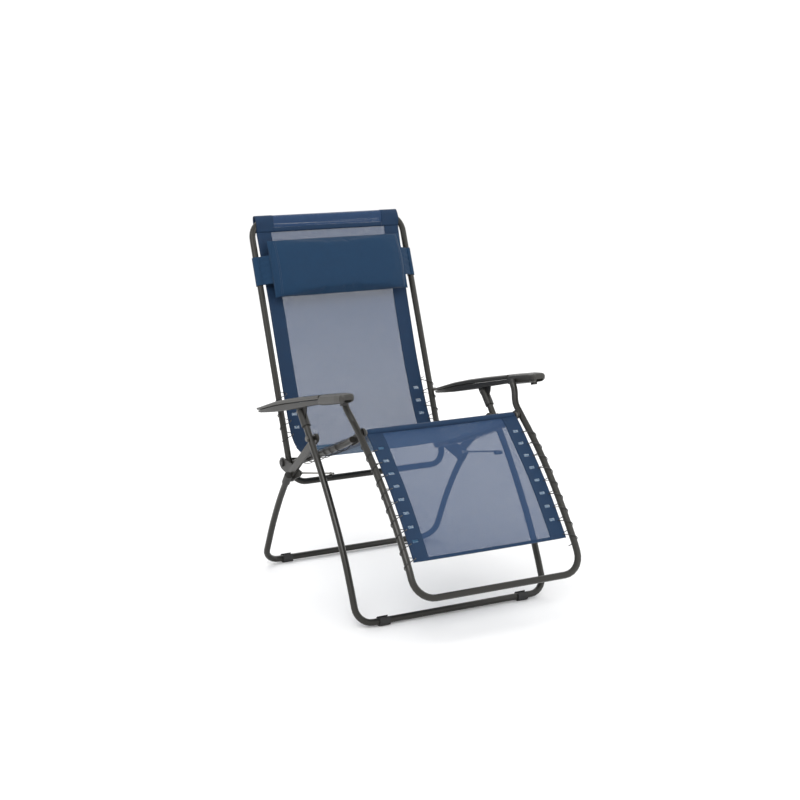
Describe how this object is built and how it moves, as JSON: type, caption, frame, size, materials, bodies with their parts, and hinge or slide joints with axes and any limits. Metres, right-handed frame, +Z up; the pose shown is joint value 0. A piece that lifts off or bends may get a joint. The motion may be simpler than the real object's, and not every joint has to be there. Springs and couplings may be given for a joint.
{
  "type": "zero gravity recliner",
  "caption": "Folding tubular recliner with a laced mesh bed, headrest pillow, sliding armrests and a legrest that rises as the back leans.",
  "frame": {"origin": "on the floor under the middle of the resting chair's bounding box", "axes": "+X to the right across the chair, +Y towards the back, +Z up; the foot end points to -Y"},
  "size_m": [0.6896, 1.1401, 1.1078],
  "materials": {
    "steel": "satin bronze-grey powder coat",
    "black": "moulded black",
    "zinc": "zinc plated",
    "rivet": "dark plated",
    "navy": "woven navy",
    "mesh": "coated open mesh",
    "canvas": "matte woven",
    "cord": "braided elastic",
    "arm": "satin moulded"
  },
  "bodies": {
    "front_leg": {"front_leg_frame": "steel", "front_foot_left": "black", "front_foot_right": "black", "arm_socket_left": "black", "arm_socket_right": "black", "leg_pivot_bolt_left": "rivet", "leg_pivot_bolt_right": "rivet", "stay_guide_left": "black", "stay_guide_right": "black"},
    "rear_leg": {"rear_leg_frame": "steel", "rear_foot_left": "black", "rear_foot_right": "black", "leg_link_left": "steel", "leg_link_right": "steel", "hip_bracket_left": "black", "hip_bracket_right": "black"},
    "hip_pins": {"hip_pin_left": "black", "hip_pin_right": "black"},
    "backrest": {"backrest_frame": "steel", "back_fabric": "mesh", "top_sleeve": "navy", "back_lacing_left": "cord", "back_lacing_right": "cord"},
    "pillow": {"headrest_pillow": "canvas", "pillow_strap_left": "canvas", "pillow_strap_right": "canvas"},
    "seat": {"seat_pivot_left": "rivet", "seat_pivot_right": "rivet", "seat_rail_left": "steel", "seat_rail_right": "steel", "knee_gusset_left": "black", "knee_gusset_right": "black", "seat_fabric": "mesh", "seat_lacing_left": "cord", "seat_lacing_right": "cord"},
    "knee_pins": {"knee_pin_left": "rivet", "knee_pin_right": "rivet"},
    "legrest": {"legrest_frame": "steel", "legrest_fabric": "mesh", "legrest_collar_left": "black", "legrest_collar_right": "black", "legrest_lacing_left": "cord", "legrest_lacing_right": "cord"},
    "arm_pin_left": {"arm_rear_pin_left": "rivet"},
    "armrest_left": {"armrest_shell_left": "arm", "armrest_front_left": "arm", "armrest_rail_left": "black"},
    "lever_left": {"lock_lever_left": "black"},
    "slider_pin_left": {"slider_pin_left": "rivet"},
    "slider_left": {"arm_slider_left": "black"},
    "stay_left": {"stay_rod_left": "zinc"},
    "arm_pin_right": {"arm_rear_pin_right": "rivet"},
    "armrest_right": {"armrest_shell_right": "arm", "armrest_front_right": "arm", "armrest_rail_right": "black"},
    "lever_right": {"lock_lever_right": "black"},
    "slider_pin_right": {"slider_pin_right": "rivet"},
    "slider_right": {"arm_slider_right": "black"},
    "stay_right": {"stay_rod_right": "zinc"}
  },
  "joints": [
    {"name": "leg_fold", "type": "hinge", "parent": "front_leg", "child": "rear_leg", "pos_m": [0, 0.0128, 0.5], "axis": [1, 0, 0], "range_deg": [-67, 0]},
    {"name": "back_fold", "type": "hinge", "parent": "rear_leg", "child": "hip_pins", "pos_m": [0, 0.273, 0.3648], "axis": [1, 0, 0], "range_deg": [-0.3, 37.63]},
    {"name": "recline", "type": "hinge", "parent": "hip_pins", "child": "backrest", "pos_m": [0, 0.2758, 0.362], "axis": [-1, 0, 0], "range_deg": [0, 30]},
    {"name": "seat_recline", "type": "hinge", "parent": "rear_leg", "child": "seat", "pos_m": [0, 0.2758, 0.362], "axis": [-1, 0, 0], "range_deg": [-0.3, 12.49]},
    {"name": "knee_fold", "type": "hinge", "parent": "seat", "child": "knee_pins", "pos_m": [0, -0.2182, 0.558], "axis": [1, 0, 0], "range_deg": [-0.3, 64.7]},
    {"name": "knee_recline", "type": "hinge", "parent": "knee_pins", "child": "legrest", "pos_m": [0, -0.2142, 0.558], "axis": [-1, 0, 0], "range_deg": [-0.3, 44.91]},
    {"name": "arm_fold_left", "type": "hinge", "parent": "backrest", "child": "arm_pin_left", "pos_m": [0, 0.3556, 0.5272], "axis": [1, 0, 0], "range_deg": [-38.7, 0.3]},
    {"name": "arm_recline_left", "type": "hinge", "parent": "arm_pin_left", "child": "armrest_left", "pos_m": [0, 0.3528, 0.53], "axis": [-1, 0, 0], "range_deg": [-23.61, 0.3]},
    {"name": "slider_fold_left", "type": "hinge", "parent": "front_leg", "child": "slider_pin_left", "pos_m": [0, 0.0758, 0.57], "axis": [1, 0, 0], "range_deg": [-68.37, 0.3]},
    {"name": "slider_recline_left", "type": "hinge", "parent": "slider_pin_left", "child": "slider_left", "pos_m": [0, 0.0758, 0.57], "axis": [-1, 0, 0], "range_deg": [-0.3, 6.99]},
    {"name": "stay_fold_left", "type": "hinge", "parent": "rear_leg", "child": "stay_left", "pos_m": [0, 0.1528, 0.358], "axis": [1, 0, 0], "range_deg": [-23.32, 0.3]},
    {"name": "arm_fold_right", "type": "hinge", "parent": "backrest", "child": "arm_pin_right", "pos_m": [0, 0.3556, 0.5272], "axis": [1, 0, 0], "range_deg": [-38.7, 0.3]},
    {"name": "arm_recline_right", "type": "hinge", "parent": "arm_pin_right", "child": "armrest_right", "pos_m": [0, 0.3528, 0.53], "axis": [-1, 0, 0], "range_deg": [-23.61, 0.3]},
    {"name": "slider_fold_right", "type": "hinge", "parent": "front_leg", "child": "slider_pin_right", "pos_m": [0, 0.0758, 0.57], "axis": [1, 0, 0], "range_deg": [-68.37, 0.3]},
    {"name": "slider_recline_right", "type": "hinge", "parent": "slider_pin_right", "child": "slider_right", "pos_m": [0, 0.0758, 0.57], "axis": [-1, 0, 0], "range_deg": [-0.3, 6.99]},
    {"name": "stay_fold_right", "type": "hinge", "parent": "rear_leg", "child": "stay_right", "pos_m": [0, 0.1528, 0.358], "axis": [1, 0, 0], "range_deg": [-23.32, 0.3]},
    {"name": "lever_squeeze_left", "type": "hinge", "parent": "armrest_left", "child": "lever_left", "pos_m": [0, -0.1102, 0.627], "axis": [-1, 0, 0], "range_deg": [0, 3], "stiffness_Nm_per_rad": 0.6, "springref_deg": -1.15},
    {"name": "lever_squeeze_right", "type": "hinge", "parent": "armrest_right", "child": "lever_right", "pos_m": [0, -0.1102, 0.627], "axis": [-1, 0, 0], "range_deg": [0, 3], "stiffness_Nm_per_rad": 0.6, "springref_deg": -1.15},
    {"name": "pillow_slide", "type": "slide", "parent": "backrest", "child": "pillow", "axis": [0, -0.3585, -0.9335], "range_m": [0, 0.09]}
  ],
  "couplings": [
    {"joint": "back_fold", "follows": "leg_fold", "ratio": -0.55712},
    {"joint": "seat_recline", "follows": "recline", "ratio": 0.40641},
    {"joint": "knee_fold", "follows": "leg_fold", "ratio": -0.96119},
    {"joint": "knee_recline", "follows": "recline", "ratio": 1.4871},
    {"joint": "arm_fold_left", "follows": "leg_fold", "ratio": 0.57307},
    {"joint": "arm_recline_left", "follows": "recline", "ratio": -0.77714},
    {"joint": "slider_fold_left", "follows": "leg_fold", "ratio": 1.016},
    {"joint": "slider_recline_left", "follows": "recline", "ratio": 0.22286},
    {"joint": "stay_fold_left", "follows": "leg_fold", "ratio": 0.34354},
    {"joint": "arm_fold_right", "follows": "leg_fold", "ratio": 0.57307},
    {"joint": "arm_recline_right", "follows": "recline", "ratio": -0.77714},
    {"joint": "slider_fold_right", "follows": "leg_fold", "ratio": 1.016},
    {"joint": "slider_recline_right", "follows": "recline", "ratio": 0.22286},
    {"joint": "stay_fold_right", "follows": "leg_fold", "ratio": 0.34354}
  ]
}
